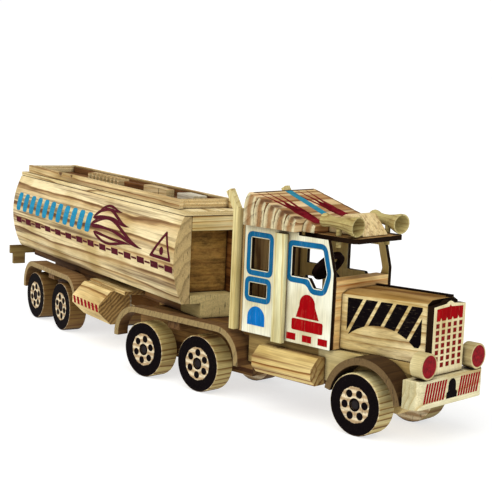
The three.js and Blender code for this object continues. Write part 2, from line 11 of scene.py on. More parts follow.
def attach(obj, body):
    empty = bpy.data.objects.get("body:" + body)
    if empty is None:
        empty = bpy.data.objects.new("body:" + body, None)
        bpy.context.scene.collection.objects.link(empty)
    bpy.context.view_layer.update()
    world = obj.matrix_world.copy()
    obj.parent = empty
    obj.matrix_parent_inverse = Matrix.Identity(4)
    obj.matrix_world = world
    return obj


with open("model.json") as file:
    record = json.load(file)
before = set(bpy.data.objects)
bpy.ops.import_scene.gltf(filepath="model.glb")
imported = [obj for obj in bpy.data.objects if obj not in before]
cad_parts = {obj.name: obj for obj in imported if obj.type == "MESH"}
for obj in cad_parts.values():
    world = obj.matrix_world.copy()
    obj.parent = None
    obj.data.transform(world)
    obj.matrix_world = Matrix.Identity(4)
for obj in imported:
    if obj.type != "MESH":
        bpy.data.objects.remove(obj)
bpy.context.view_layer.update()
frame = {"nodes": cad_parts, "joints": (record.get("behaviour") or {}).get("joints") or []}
NODES = frame["nodes"]
JOINTS = {joint["name"]: joint for joint in frame["joints"]}
MM = 0.001
SIDES = {"right": -1, "left": 1}    # each side's name and the sign of its Y


# ---- places ----
class Place:
    """A local frame on the ground: millimetres in, metres of the row frame out."""

    def __init__(self, joint_at, forwards, body, local=(0, 0)):
        """joint_at is a joint's place in the row frame and local the same place in this frame."""
        self.body = body
        self.turn = Matrix.Rotation(math.atan2(forwards[1], forwards[0]), 3, "Z")
        self.origin = Vector((joint_at[0], joint_at[1], 0)) - self.turn @ Vector((*local, 0)) * MM

    def point(self, x, y, z):
        return self.origin + self.turn @ Vector((x, y, z)) * MM


def wheelset_place(joint_name):
    """The frame of a wheelset, whose origin is on the ground below the middle of its axle."""
    joint = JOINTS[joint_name]
    axle = joint["axis"]
    return Place(joint["pos_m"], (axle[1], -axle[0]), joint["child"])


KINGPIN = (-12, -1.7)
trailer_axle = JOINTS["trailer_1_roll"]["axis"]
TRACTOR = Place(JOINTS["front_roll"]["pos_m"], (1, 0), "tractor")
TRAILER = Place(JOINTS["trailer_yaw"]["pos_m"], (trailer_axle[1], -trailer_axle[0]), "trailer", KINGPIN)
WHEELSETS = {
    name: wheelset_place(f"{name}_roll") for name in ("front", "drive_1", "drive_2", "trailer_1", "trailer_2")
}

# Dimensions that the prints and trim share with the CAD model, in millimetres of the local frames.
CAB_OUT = 30.06
WHEEL_OUT = 35.65
WHEEL_R = 20
HOOD_REAR_X = -26.2
HOOD_FRONT_X = 36.9
HOOD_REAR_HALF = 21
HOOD_FRONT_HALF = 15.8
HOOD_TOP = 87.2
HOOD_RISE = 2.2
RADIATOR_X = 42.4
BUMPER_X = 47.2
LAMP_Y = 26
LAMP_Z = 51.7
ROOF_REAR_X = -102.5
ROOF_PEAK = 142.8
ROOF_SLOPE = 0.3
ROOF_BOARD = 9.1
TANK_BOTTOM = 55.3
TANK_TOP = 118.7
TANK_WIDE = 32.1
TANK_EDGE = 24.3
LID_TOP = 122.2
LOCKER_OUT = 40


# ---- colours ----
def srgb(r, g, b):
    """A colour as a screen shows it, 0 to 255, turned into the shader's linear values."""
    def linear(c):
        c /= 255
        return c / 12.92 if c <= 0.04045 else ((c + 0.055) / 1.055) ** 2.4
    return (linear(r), linear(g), linear(b), 1)


CREAM = srgb(233, 208, 158)
PALE = srgb(240, 240, 219)
TAN = srgb(206, 168, 108)
UMBER = srgb(142, 96, 50)
COCOA = srgb(96, 60, 30)
CHAR = srgb(15, 8, 6)
KHAKI = srgb(176, 160, 112)
MOSS = srgb(140, 124, 80)
BLUE = srgb(20, 94, 136)
SKY = srgb(14, 106, 176)
TEAL = srgb(38, 132, 166)
CRIMSON = srgb(150, 5, 12)
WINE = srgb(112, 14, 26)
MAROON = srgb(80, 22, 34)
INK = srgb(12, 7, 9)
KNOT = srgb(70, 38, 18)
# the dark brown of the painted shade in joints and corners
CREASE_SHADE = srgb(92, 70, 52)
STAIN = srgb(214, 204, 178)
WHITE = srgb(255, 255, 255)


# ---- shader nodes ----
class Shader:
    """Short names for building one material's node tree."""

    def __init__(self, name):
        self.material = bpy.data.materials.new(name)
        self.material.use_nodes = True
        self.tree = self.material.node_tree
        self.bsdf = self.tree.nodes["Principled BSDF"]

    def add(self, kind, **settings):
        node = self.tree.nodes.new(kind)
        for key, value in settings.items():
            setattr(node, key, value)
        return node

    def feed(self, socket, value):
        """Links a socket to another one, or sets its value."""
        if isinstance(value, bpy.types.NodeSocket):
            self.tree.links.new(value, socket)
        else:
            socket.default_value = value

    def math(self, operation, a, b=0.0, clamp=False):
        node = self.add("ShaderNodeMath", operation=operation, use_clamp=clamp)
        self.feed(node.inputs[0], a)
        self.feed(node.inputs[1], b)
        return node.outputs[0]

    def vector(self, operation, a, b=(0, 0, 0)):
        node = self.add("ShaderNodeVectorMath", operation=operation)
        self.feed(node.inputs[0], a)
        self.feed(node.inputs[1], b)
        return node.outputs["Value" if operation in ("LENGTH", "DOT_PRODUCT") else "Vector"]

    def times(self, a, b, clamp=False):
        return self.math("MULTIPLY", a, b, clamp)

    def plus(self, a, b):
        return self.math("ADD", a, b)

    def minus(self, a, b):
        return self.math("SUBTRACT", a, b)

    def dot(self, a, b):
        return self.vector("DOT_PRODUCT", a, b)

    def noise(self, vector, cells, detail=2, roughness=0.5, distortion=0.0):
        """Noise from 0 to 1, with this many cells in a millimetre along each axis."""
        node = self.add("ShaderNodeTexNoise")
        self.feed(node.inputs["Vector"], self.vector("MULTIPLY", vector, cells))
        settings = {"Scale": 1, "Detail": detail, "Roughness": roughness, "Distortion": distortion}
        for socket, value in settings.items():
            node.inputs[socket].default_value = value
        return node.outputs["Fac"]

    def occlusion_shade(self, reach):
        """0 deep in joints and corners, where little light reaches, and 1 on open faces: ambient occlusion, used
        for painted shade.
        """
        node = self.add("ShaderNodeAmbientOcclusion", samples=6)
        node.inputs["Distance"].default_value = reach * MM
        return node.outputs["AO"]

    def ramp(self, factor, stops):
        """A ramp through stops, each a position with a colour or a grey value."""
        node = self.add("ShaderNodeValToRGB")
        elements = node.color_ramp.elements
        while len(elements) < len(stops):
            elements.new(0.5)
        for element, (position, value) in zip(elements, stops):
            element.position = position
            element.color = value if isinstance(value, tuple) else (value, value, value, 1)
        self.feed(node.inputs["Fac"], factor)
        return node.outputs["Color"]

    def mix(self, factor, a, b, blend="MIX"):
        node = self.add("ShaderNodeMix", data_type="RGBA", blend_type=blend, clamp_factor=True)
        self.feed(node.inputs["Factor"], factor)
        self.feed(node.inputs[6], a)
        self.feed(node.inputs[7], b)
        return node.outputs[2]

    def tint(self, color, by):
        """One colour multiplied by another."""
        return self.mix(1.0, color, by, "MULTIPLY")

    def finish(self, color, roughness, height, depth, specular):
        """Joins the layers to the surface and gives the material. depth is the relief in millimetres."""
        bump = self.add("ShaderNodeBump")
        bump.inputs["Strength"].default_value = 1
        bump.inputs["Distance"].default_value = depth * MM
        self.feed(bump.inputs["Height"], height)
        self.feed(self.bsdf.inputs["Base Color"], color)
        self.feed(self.bsdf.inputs["Roughness"], roughness)
        self.feed(self.bsdf.inputs["Normal"], bump.outputs["Normal"])
        self.bsdf.inputs["Specular IOR Level"].default_value = specular
        return self.material


GRAIN_TURNS = {
    "x": Matrix.Identity(3),
    "y": Matrix(((0, 1, 0), (-1, 0, 0), (0, 0, 1))),
    "z": Matrix(((0, 0, 1), (0, 1, 0), (-1, 0, 0))),
}
AXES = {"x": Vector((1, 0, 0)), "y": Vector((0, 1, 0)), "z": Vector((0, 0, 1))}


def seed_of(name):
    """Three repeatable numbers from 0 to 1 that belong to a name."""
    code = zlib.crc32(name.encode())
    return [(code >> shift & 1023) / 1023 for shift in (0, 10, 20)]


def grain_shift(name):
    """How far along the grain a piece's pattern is moved, so that no two pieces match."""
    return 900 * seed_of(name)[0] - 450


def grain_space(shader, place, grain, name):
    """A place's millimetres, turned so that the grain runs along X, and the surface's normal."""
    turn = GRAIN_TURNS[grain] @ place.turn.transposed()
    mapping = shader.add("ShaderNodeMapping", vector_type="POINT")
    mapping.inputs["Location"].default_value = Vector((grain_shift(name), 0, 0)) - turn @ (place.origin / MM)
    mapping.inputs["Rotation"].default_value = turn.to_euler("XYZ")
    mapping.inputs["Scale"].default_value = (1 / MM,) * 3
    coordinates = shader.add("ShaderNodeTexCoord")
    shader.feed(mapping.inputs["Vector"], coordinates.outputs["Object"])
    return mapping.outputs["Vector"], coordinates.outputs["Normal"]


def facing(shader, normal, place, axis, low=0.75, high=0.92):
    """1 where the surface faces along a local axis, either way, and 0 elsewhere."""
    direction = place.turn @ AXES[axis]
    dot = shader.math("ABSOLUTE", shader.dot(normal, tuple(direction)))
    return shader.math("DIVIDE", shader.minus(dot, low), high - low, clamp=True)


# ---- timber and ink ----
def growth_rings(s, at, name, wander, ring, contrast, wave, pith, knots):
    """How late in its year the wood is, from 0 in early wood to 1 in the dark line of a ring."""
    a, b, c = seed_of(name + " pith")
    middle = (0, pith[0] * (0.7 + 0.6 * a), pith[1] * (0.7 + 0.6 * b) * (1 if c > 0.5 else -1))
    across = s.vector("MULTIPLY", s.vector("SUBTRACT", at, middle), (0, 1, 1))
    slow = s.noise(at, (0.0045, 0.03, 0.03))
    radius = s.plus(s.vector("LENGTH", across), s.times(slow, wave * 2))
    radius = s.plus(radius, s.times(wander, 2.4))
    for away, size in knots:
        radius = s.plus(radius, s.times(s.ramp(away, [(0.1, 1.0), (1, 0.0)]), size * 2.2))
    saw = s.math("FRACT", s.math("DIVIDE", radius, ring))
    rings = s.ramp(saw, [(0, 0.5), (0.06, 0.0), (0.45, 0.05), (0.76, 0.4), (0.92, 1.0), (1, 0.9)])
    patches = s.ramp(s.noise(at, (0.004, 0.028, 0.028), detail=3), [(0.34, 0.12), (0.6, 1.0)])
    return s.times(s.times(rings, patches), contrast)


def knot_distance(s, at, shift, grain, wander, knot):
    """How far a point is from a knot, 0 in its middle and 1 past its rim, and the knot's radius."""
    x, y, z, radius = knot
    middle = GRAIN_TURNS[grain] @ Vector((x, y, z)) + Vector((shift, 0, 0))
    away = s.vector("SUBTRACT", at, tuple(middle))
    away = s.vector("MULTIPLY", away, (0.55 / radius, 1 / radius, 1 / radius))
    return s.plus(s.vector("LENGTH", away), s.times(wander, 0.25)), radius


def brown_streaks(s, at, fine):
    """Where streaks lie, from broad and narrow noise in equal shares."""
    broad = s.noise(at, (0.005, fine * 0.4, fine * 0.4), 3, 0.6, distortion=0.15)
    narrow = s.noise(at, (0.007, fine * 1.8, fine * 1.8), 3, 0.6, distortion=0.1)
    both = s.plus(s.times(broad, 0.5), s.times(narrow, 0.5))
    return s.ramp(both, [(0.49, 0.0), (0.6, 1.0)])


def banded(s, at, grain, wander, color, end_bands):
    """Lays bands across the end grain's colour."""
    pitch, start, tint, direction = end_bands
    sideways = s.dot(at, tuple(GRAIN_TURNS[grain] @ Vector(direction)))
    sideways = s.plus(sideways, s.times(wander, 3.0))
    band = s.math("FRACT", s.math("DIVIDE", s.minus(sideways, start), pitch))
    return s.mix(s.ramp(band, [(0.05, 0.0), (0.3, 0.05), (0.6, 0.95), (0.88, 0.8), (1, 0.1)]), color, tint)


def porous(s, at, color):
    """Pores and small drying cracks in the end grain's colour."""
    pores = s.noise(at, (2.2, 1.1, 1.1), detail=3, roughness=0.7)
    cracks = s.noise(at, (0.4, 0.9, 0.16), detail=3, roughness=0.6, distortion=0.4)
    color = s.tint(color, s.ramp(pores, [(0.3, 0.74), (0.7, 1.1)]))
    return s.tint(color, s.ramp(cracks, [(0.32, 0.3), (0.41, 1.0)]))


def planked(s, at, fibres, color, late_color):
    """Ends that are really the long sides of other boards."""
    lines = s.noise(at, (0.01, 0.012, 0.75), detail=4, roughness=0.6)
    color = s.mix(s.ramp(lines, [(0.42, 0.0), (0.66, 1.0)]), color, late_color)
    color = s.tint(color, s.ramp(fibres, [(0.3, 0.74), (0.7, 1.1)]))
    return s.tint(color, s.ramp(fibres, [(0.32, 0.3), (0.41, 1.0)]))


def sooty(s, at, normal, place, color, clean, charred):
    """Chars the faces that look along charred's axis, or all but those that look along clean's."""
    char = facing(s, normal, place, charred or clean, 0.35, 0.75)
    if clean:
        char = s.minus(1.0, char)
    return s.mix(char, color, s.mix(s.noise(at, (0.5, 0.9, 0.9), detail=3), CHAR, s.mix(0.06, CHAR, UMBER)))


def wood(name, place, grain="x", light=CREAM, middle=TAN, dark=UMBER, ring=4.0, contrast=0.8, wave=9.0,
         pith=(18, 34), knots=(), streaks=0.5, streak_color=COCOA, fine=0.22, end_tint=KHAKI, end_mix=0.5,
         end_lines=0.45, end_reach=(0.75, 0.92), end_beyond=0, end_bands=None, end_planks=False, clean=None,
         charred=None, toned=None, lining=None, pale_from=None, mottled=0, dust=3.5, paint=None):
    """Solid timber: growth rings round a pith beside the piece, streaks, fibres, knots and end grain.

    light, middle and dark are the colours of early wood, late wood and the line that ends a ring. wave is
    how far the rings wander and pith about how far off their middle is. A knot is its centre and radius.
    A larger fine gives narrower streaks. end_mix is how much of their own colour the ends take, end_lines
    how dark the rings are there, end_reach how squarely a face looks along the grain before it is an end,
    end_beyond how far out the ends start, and end_bands the pitch, start, colour and direction of bands
    across them; end_planks is for frames whose ends are the long sides of other boards. clean names the
    axis of the faces without soot when all others are charred, and charred the axis of charred faces.
    toned is an axis and a tint for the faces that look along it, and lining an axis, a sign and a tint
    for those that look that one way: a warmer colour inside the cab, painted shade on the inner faces of the
    tank sides and lockers. pale_from is where along the grain the piece turns pale, its colour there, and the
    end tint short of it; the darker timber short of it is painted shade from the parts above. mottled is how
    dirty the piece is, and dust how far the painted shade reaches out of joints and corners. paint(shader, place
    in the grain, normal, colour) gives the colour with paint on it."""
    s = Shader(name)
    shift = grain_shift(name)
    at, normal = grain_space(s, place, grain, name)
    wander = s.noise(at, (0.02, 0.12, 0.12))
    fibres = s.noise(at, (0.06, 2.2, 2.2), detail=3, roughness=0.6)
    near_knots = [knot_distance(s, at, shift, grain, wander, knot) for knot in knots]
    late = growth_rings(s, at, name, wander, ring, contrast, wave, pith, near_knots)
    color = s.mix(s.ramp(late, [(0, 0.0), (0.5, 1.0)]), light, middle)
    color = s.mix(s.ramp(late, [(0.4, 0.0), (0.9, 1.0)]), color, dark)
    color = s.mix(s.times(brown_streaks(s, at, fine), streaks), color, streak_color)
    # painted shade: short of the given start the timber keeps its darker colours and darker ends; past it the
    # piece turns pale
    if pale_from:
        start, tint, shaded_end_tint = pale_from
        past = s.minus(s.dot(at, (1, 0, 0)), start + shift)
        pale = s.times(past, 0.5, clamp=True)
        color = s.mix(s.times(pale, 0.85), color, tint)
        end_tint = s.mix(pale, shaded_end_tint, end_tint)
    color = s.tint(color, s.ramp(fibres, [(0.25, 0.68), (0.75, 1.15)]))
    blotch = s.noise(at, (0.02, 0.03, 0.03), detail=3)
    color = s.tint(color, s.ramp(blotch, [(0.34, STAIN), (0.62, WHITE)]))
    if toned:
        axis, tint = toned
        color = s.mix(facing(s, normal, place, axis), color, s.tint(color, tint))
    # a tint on the faces that look one way: a warmer colour inside the cab, painted shade on the inner faces of
    # the tank sides and lockers
    if lining:
        axis, sign, tint = lining
        dot = s.dot(normal, tuple(place.turn @ AXES[axis] * sign))
        inside = s.times(s.minus(dot, 0.75), 6, clamp=True)
        color = s.mix(inside, color, s.tint(color, tint))
    end = facing(s, normal, place, grain, *end_reach)
    if end_beyond:
        along = s.dot(s.vector("SUBTRACT", at, (shift, 0, 0)), (1, 0, 0))
        end = s.times(end, s.math("GREATER_THAN", s.math("ABSOLUTE", along), end_beyond))
    if end_planks:
        end_color = planked(s, at, fibres, end_tint, middle)
    else:
        end_color = s.mix(late, end_tint, s.mix(end_lines, end_tint, CHAR))
        if end_bands:
            end_color = banded(s, at, grain, wander, end_color, end_bands)
        end_color = porous(s, at, end_color)
    color = s.mix(s.times(end, end_mix), color, end_color)
    for away, _ in near_knots:
        core = s.ramp(away, [(0.35, 1.0), (0.62, 0.75), (0.78, 0.2), (1, 0.0)])
        color = s.mix(s.times(core, 0.9), color, KNOT)
    if clean or charred:
        color = sooty(s, at, normal, place, color, clean, charred)
    if mottled:
        grime = s.ramp(s.noise(at, (0.12, 0.3, 0.3), detail=6, roughness=0.75), [(0.34, 0.35), (0.64, 1.3)])
        color = s.mix(mottled, color, s.tint(color, grime))
    # painted shade: ambient occlusion darkens joints, corners and creases towards a dark brown
    color = s.tint(color, s.ramp(s.occlusion_shade(dust), [(0.3, CREASE_SHADE), (0.92, WHITE)]))
    if paint:
        color = paint(s, at, normal, color)
    gloss = s.ramp(fibres, [(0.2, 0.76), (0.8, 0.6)])
    height = s.plus(s.times(fibres, 0.6), s.times(late, -0.5))
    return s.finish(color, gloss, height, depth=0.18, specular=0.02 if clean or charred else 0.12)


def ink(name, place, color, grain="x", worn=0.35, under=CREAM):
    """Screen-printed ink on timber: the fibres show through as fine worn streaks."""
    s = Shader(name)
    at, _ = grain_space(s, place, grain, name)
    fibres = s.noise(at, (0.10, 1.9, 1.9), detail=4, roughness=0.65)
    bare = s.ramp(fibres, [(0.60, 0.0), (0.84, worn)])
    shade = s.ramp(s.noise(at, (0.05, 0.3, 0.3), detail=3), [(0.3, 0.78), (0.7, 1.1)])
    color = s.mix(bare, s.tint(color, shade), under)
    gloss = s.ramp(fibres, [(0.2, 0.6), (0.9, 0.8)])
    return s.finish(color, gloss, fibres, depth=0.06, specular=0.02)


# ---- meshes ----
def new_object(name, data):
    made = bpy.data.objects.new(name, data)
    bpy.context.scene.collection.objects.link(made)
    return made


def add_mesh(name, bm, material, place):
    """Turns a bmesh in the row frame into a piece that rides on the place's body."""
    bmesh.ops.recalc_face_normals(bm, faces=bm.faces)
    mesh = bpy.data.meshes.new(name)
    bm.to_mesh(mesh)
    bm.free()
    piece = new_object(name, mesh)
    mesh.materials.append(material)
    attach(piece, place.body)
    return piece


FILM_UP = 0.10      # how far a print stands above the wood
FILM_DOWN = 0.06    # how far its underside is sunk


def cut(bm, at, normal, clear_inner=False):
    """Cuts a bmesh along a plane, and can clear what the normal looks away from."""
    geometry = bm.verts[:] + bm.edges[:] + bm.faces[:]
    bmesh.ops.bisect_plane(bm, geom=geometry, plane_co=at, plane_no=normal, clear_inner=clear_inner)


class Print:
    """Flat shapes in (u, v), gathered into one thin film that lies on a surface."""

    def __init__(self):
        self.bm = bmesh.new()

    def shape(self, outer, holes=(), clips=()):
        """One closed outline with holes. Each clip (point, normal) keeps the side the normal looks at."""
        loops = [[Vector((u, v, 0)) for u, v in loop] for loop in (outer, *holes)]
        part = bmesh.new()
        corners = [part.verts.new(p) for loop in loops for p in loop]
        for triangle in tessellate_polygon(loops):
            part.faces.new([corners[i] for i in triangle])
        for point, normal in clips:
            cut(part, (*point, 0), (*normal, 0), clear_inner=True)
        mesh = bpy.data.meshes.new("outline")
        part.to_mesh(mesh)
        part.free()
        self.bm.from_mesh(mesh)
        bpy.data.meshes.remove(mesh)
        return self

    def lay(self, name, surface, place, slot, color, ink_name=None, v_cuts=(), **ink_look):
        """Thickens the shapes and lays them in ink on surface(u, v, height), which gives local millimetres.
        v_cuts are the levels at which the film is cut, so that it can follow a curve."""
        bm = self.bm
        for level in v_cuts:
            cut(bm, (0, level, 0), (0, 1, 0))
        raised = bmesh.ops.extrude_face_region(bm, geom=bm.faces[:], use_keep_orig=True)
        tops = {v for v in raised["geom"] if isinstance(v, bmesh.types.BMVert)}
        for v in bm.verts:
            height = FILM_UP if v in tops else -FILM_DOWN
            v.co = place.point(*surface(v.co.x, v.co.y, height))
        add_mesh(name, bm, ink(ink_name or f"{name}_ink", place, color, **ink_look), place)


def on_side(out, sign, up=0):
    """A flat surface that looks sideways: u runs forwards and v upwards from a height."""
    return lambda u, v, h: (u, sign * (out + h), up + v)


def on_front(out):
    """A flat surface that looks forwards: u runs to the left and v upwards."""
    return lambda u, v, h: (out + h, u, v)


def rect(u0, u1, v0, v1):
    return [(u0, v0), (u1, v0), (u1, v1), (u0, v1)]


def arc(u, v, radius, start, end, steps):
    """Points on a circle from one angle to another, in degrees."""
    points = []
    for i in range(steps + 1):
        angle = math.radians(start + (end - start) * i / steps)
        points.append((u + radius * math.cos(angle), v + radius * math.sin(angle)))
    return points


def disc(u, v, radius, steps):
    return arc(u, v, radius, 0, 360, steps)[:-1]


def smooth_corners(points, radius):
    """Rounds each corner of a closed outline with a short curve."""
    STEPS = 5
    rounded = []
    for i, p in enumerate(points):
        corner = Vector(p)
        before = Vector(points[i - 1]) - corner
        after = Vector(points[(i + 1) % len(points)]) - corner
        reach = min(radius, before.length * 0.45, after.length * 0.45)
        a = corner + before.normalized() * reach
        b = corner + after.normalized() * reach
        for k in range(STEPS + 1):
            t = k / STEPS
            rounded.append(tuple(a * (1 - t) ** 2 + corner * 2 * t * (1 - t) + b * t ** 2))
    return rounded


def grown(points, distance):
    """A closed outline moved outwards by a distance."""
    signed = sum(a[0] * b[1] - b[0] * a[1] for a, b in zip(points, points[1:] + points[:1]))
    outwards = 1 if signed > 0 else -1
    moved = []
    for i, p in enumerate(points):
        here = Vector(p)
        d0 = (here - Vector(points[i - 1])).normalized()
        d1 = (Vector(points[(i + 1) % len(points)]) - here).normalized()
        n0 = Vector((d0.y, -d0.x))
        n1 = Vector((d1.y, -d1.x))
        miter = (n0 + n1) / (1 + n0.dot(n1))
        moved.append(tuple(here + miter * distance * outwards))
    return moved


def ribbon(centre_line, widths):
    """A closed outline that follows a line of points with a half width at each."""
    left = []
    right = []
    for i, p in enumerate(centre_line):
        before = Vector(centre_line[max(i - 1, 0)])
        after = Vector(centre_line[min(i + 1, len(centre_line) - 1)])
        along = (after - before).normalized()
        side = Vector((-along.y, along.x)) * widths[i]
        left.append(tuple(Vector(p) + side))
        right.append(tuple(Vector(p) - side))
    return left + right[::-1]


def block(name, place, x, y, z, material, bevel=0.5, lean=0.0):
    """A sawn block between pairs of local coordinates, a hair out of square, with softened edges.
    lean turns it on the spot, in degrees."""
    UNEVEN = 0.00048
    bm = bmesh.new()
    bmesh.ops.create_cube(bm, size=1)
    bmesh.ops.subdivide_edges(bm, edges=bm.edges[:], cuts=2, use_grid_fill=True)
    middle = Vector(((x[0] + x[1]) / 2, (y[0] + y[1]) / 2, (z[0] + z[1]) / 2))
    size = Vector((x[1] - x[0], y[1] - y[0], z[1] - z[0]))
    turn = Matrix.Rotation(math.radians(lean), 3, "Z")
    for v in bm.verts:
        wobble = UNEVEN * math.sin(7 * v.co.x + 5 * v.co.y + 3 * v.co.z)
        v.co = place.point(*(middle + turn @ (v.co * size) * (1 - wobble)))
    soften(add_mesh(name, bm, material, place), bevel)


def soften(piece, width):
    """Small worn rounding on every sharp edge."""
    for polygon in piece.data.polygons:
        polygon.use_smooth = True
    bevel = piece.modifiers.new("worn edges", "BEVEL")
    bevel.width = width * MM
    bevel.segments = 2
    bevel.limit_method = "ANGLE"
    bevel.angle_limit = math.radians(32)
    bevel.use_clamp_overlap = True
    weighted = piece.modifiers.new("flat faces", "WEIGHTED_NORMAL")
    weighted.keep_sharp = True


def finish_node(name, material, edge=0.35):
    """Gives a CAD node its material and softens its edges."""
    node = NODES[name]
    node.data.materials.clear()
    node.data.materials.append(material)
    if node.data.has_custom_normals:
        bpy.context.view_layer.objects.active = node
        bpy.ops.mesh.customdata_custom_splitnormals_clear()
    weld = node.modifiers.new("join corners", "WELD")
    weld.merge_threshold = 0.01 * MM
    flat = node.modifiers.new("plain faces", "DECIMATE")
    flat.decimate_type = "DISSOLVE"
    flat.angle_limit = math.radians(0.4)
    soften(node, edge)


def timber(name, place, edge=0.35, **look):
    """Gives a CAD node timber of its own."""
    finish_node(name, wood(f"{name}_wood", place, **look), edge)


# ---- timber of the CAD nodes ----
def finish_chassis():
    # painted shade: dark timber where the beam lies under the cab and the trailer, pale only in front
    timber("chassis_beam", TRACTOR, light=srgb(140, 106, 60), middle=srgb(98, 62, 30), dark=COCOA,
        contrast=1.0, streaks=0.9, streak_color=srgb(62, 34, 18),
        pale_from=(-30, srgb(210, 186, 126), srgb(84, 60, 36)))
    # painted shade: the block is darker towards the rear, under the cab, and pale only in front
    timber("cab_base", TRACTOR, light=srgb(168, 144, 90), middle=srgb(130, 102, 56), dark=srgb(96, 70, 36),
        contrast=0.7, streak_color=srgb(92, 62, 34), wave=6,
        pale_from=(-40, srgb(234, 220, 168), srgb(150, 124, 76)))
    finish_node("steering_wheel", ink("steering_stain", TRACTOR, srgb(30, 18, 16), worn=0.1, under=COCOA))


def finish_cab():
    timber("cab_rear_wall", TRACTOR, grain="z", light=srgb(206, 174, 118), middle=srgb(168, 134, 84),
        dark=COCOA, end_mix=0)
    timber("cowl_block", TRACTOR, grain="y", light=srgb(255, 222, 156), middle=srgb(240, 180, 104),
        dark=srgb(166, 94, 40), ring=3.4, contrast=1.0, wave=3, streak_color=srgb(140, 70, 28), fine=0.3,
        pith=(4, 60), end_tint=srgb(204, 142, 78), end_mix=0.4, dust=1.2)
    timber("visor", TRACTOR, light=srgb(166, 132, 84), middle=srgb(130, 92, 52), dark=COCOA, contrast=0.6,
        streaks=0.4, clean="z")
    timber("wind_deflector", TRACTOR, light=srgb(238, 216, 164), middle=srgb(208, 170, 108), ring=3.2,
        contrast=0.3, wave=1.5, streaks=0.6, streak_color=srgb(134, 88, 44), fine=0.3, pith=(130, 3),
        end_mix=0)


def finish_roof():
    """Boards that are brown and pale in turn, each but the first and last with a knot at its shoulder. Their
    ends carry a dark band of painted shade over the front of each board, where its rounded shoulder turns from
    the light.
    """
    BROWN = {"light": srgb(192, 148, 98), "middle": srgb(164, 114, 68)}
    LIGHT = {"light": srgb(236, 208, 160), "middle": srgb(198, 152, 98)}
    KNOT_Y, KNOT_R = -28.5, 5.4
    # painted shade: a dark band over the front of each board's end, on its rounded shoulder
    bands = (ROOF_BOARD, ROOF_REAR_X, srgb(140, 98, 54), (1, 0, 0))
    for i in range(1, 7):
        knot_x = ROOF_REAR_X + ROOF_BOARD * i - 4
        knot_z = ROOF_PEAK - ROOF_SLOPE * ROOF_BOARD * (i - 0.5) - 1.5
        timber(f"roof_board_{i}", TRACTOR, grain="y", **(BROWN if i % 2 == 0 else LIGHT),
            dark=srgb(110, 64, 30), ring=6, contrast=0.9, wave=6, streaks=0.6,
            streak_color=srgb(112, 62, 28), pith=(6, 16), end_tint=srgb(206, 196, 156), end_mix=0.9,
            end_reach=(0.3, 0.7), end_bands=bands, dust=1.2,
            knots=[(knot_x, KNOT_Y, knot_z, KNOT_R)] if 1 < i < 6 else ())


def finish_nose():
    timber("hood_block", TRACTOR, light=srgb(238, 220, 168), middle=srgb(206, 178, 120),
        dark=srgb(118, 78, 42), ring=5, contrast=0.7, streak_color=srgb(110, 68, 34), pith=(24, 60),
        end_mix=0.2, toned=("z", srgb(196, 172, 140)), charred="x")
    timber("radiator", TRACTOR, grain="z", light=srgb(247, 236, 194), middle=srgb(234, 218, 170), dark=TAN,
        contrast=0.3, streaks=0, clean="x")
    timber("bumper", TRACTOR, grain="y", light=srgb(236, 228, 188), middle=srgb(208, 192, 142), dark=TAN,
        contrast=0.6, streaks=0.3, streak_color=srgb(160, 146, 104), pith=(30, 60), end_mix=0.1,
        toned=("y", srgb(222, 222, 216)))


def lens_paint(sign):
    """Crimson paint on the front of a headlamp, short of a narrow pale rim."""
    PAINT_R, SOFT = 7.2, 0.25

    def paint(s, at, normal, bare):
        away = s.vector("SUBTRACT", s.vector("MULTIPLY", at, (0, 1, 1)), (0, sign * LAMP_Y, LAMP_Z))
        inside = s.minus(PAINT_R, s.vector("LENGTH", away))
        inside = s.math("DIVIDE", inside, SOFT, clamp=True)
        painted = s.times(inside, facing(s, normal, TRACTOR, "x"))
        patches = s.noise(at, (0.3, 0.5, 0.5), detail=3)
        return s.mix(painted, bare, s.ramp(patches, [(0.3, srgb(98, 3, 12)), (0.7, srgb(148, 7, 22))]))
    return paint


MUDGUARD = {"grain": "y", "dark": COCOA, "contrast": 0.7, "streaks": 0.6, "end_mix": 0.95}


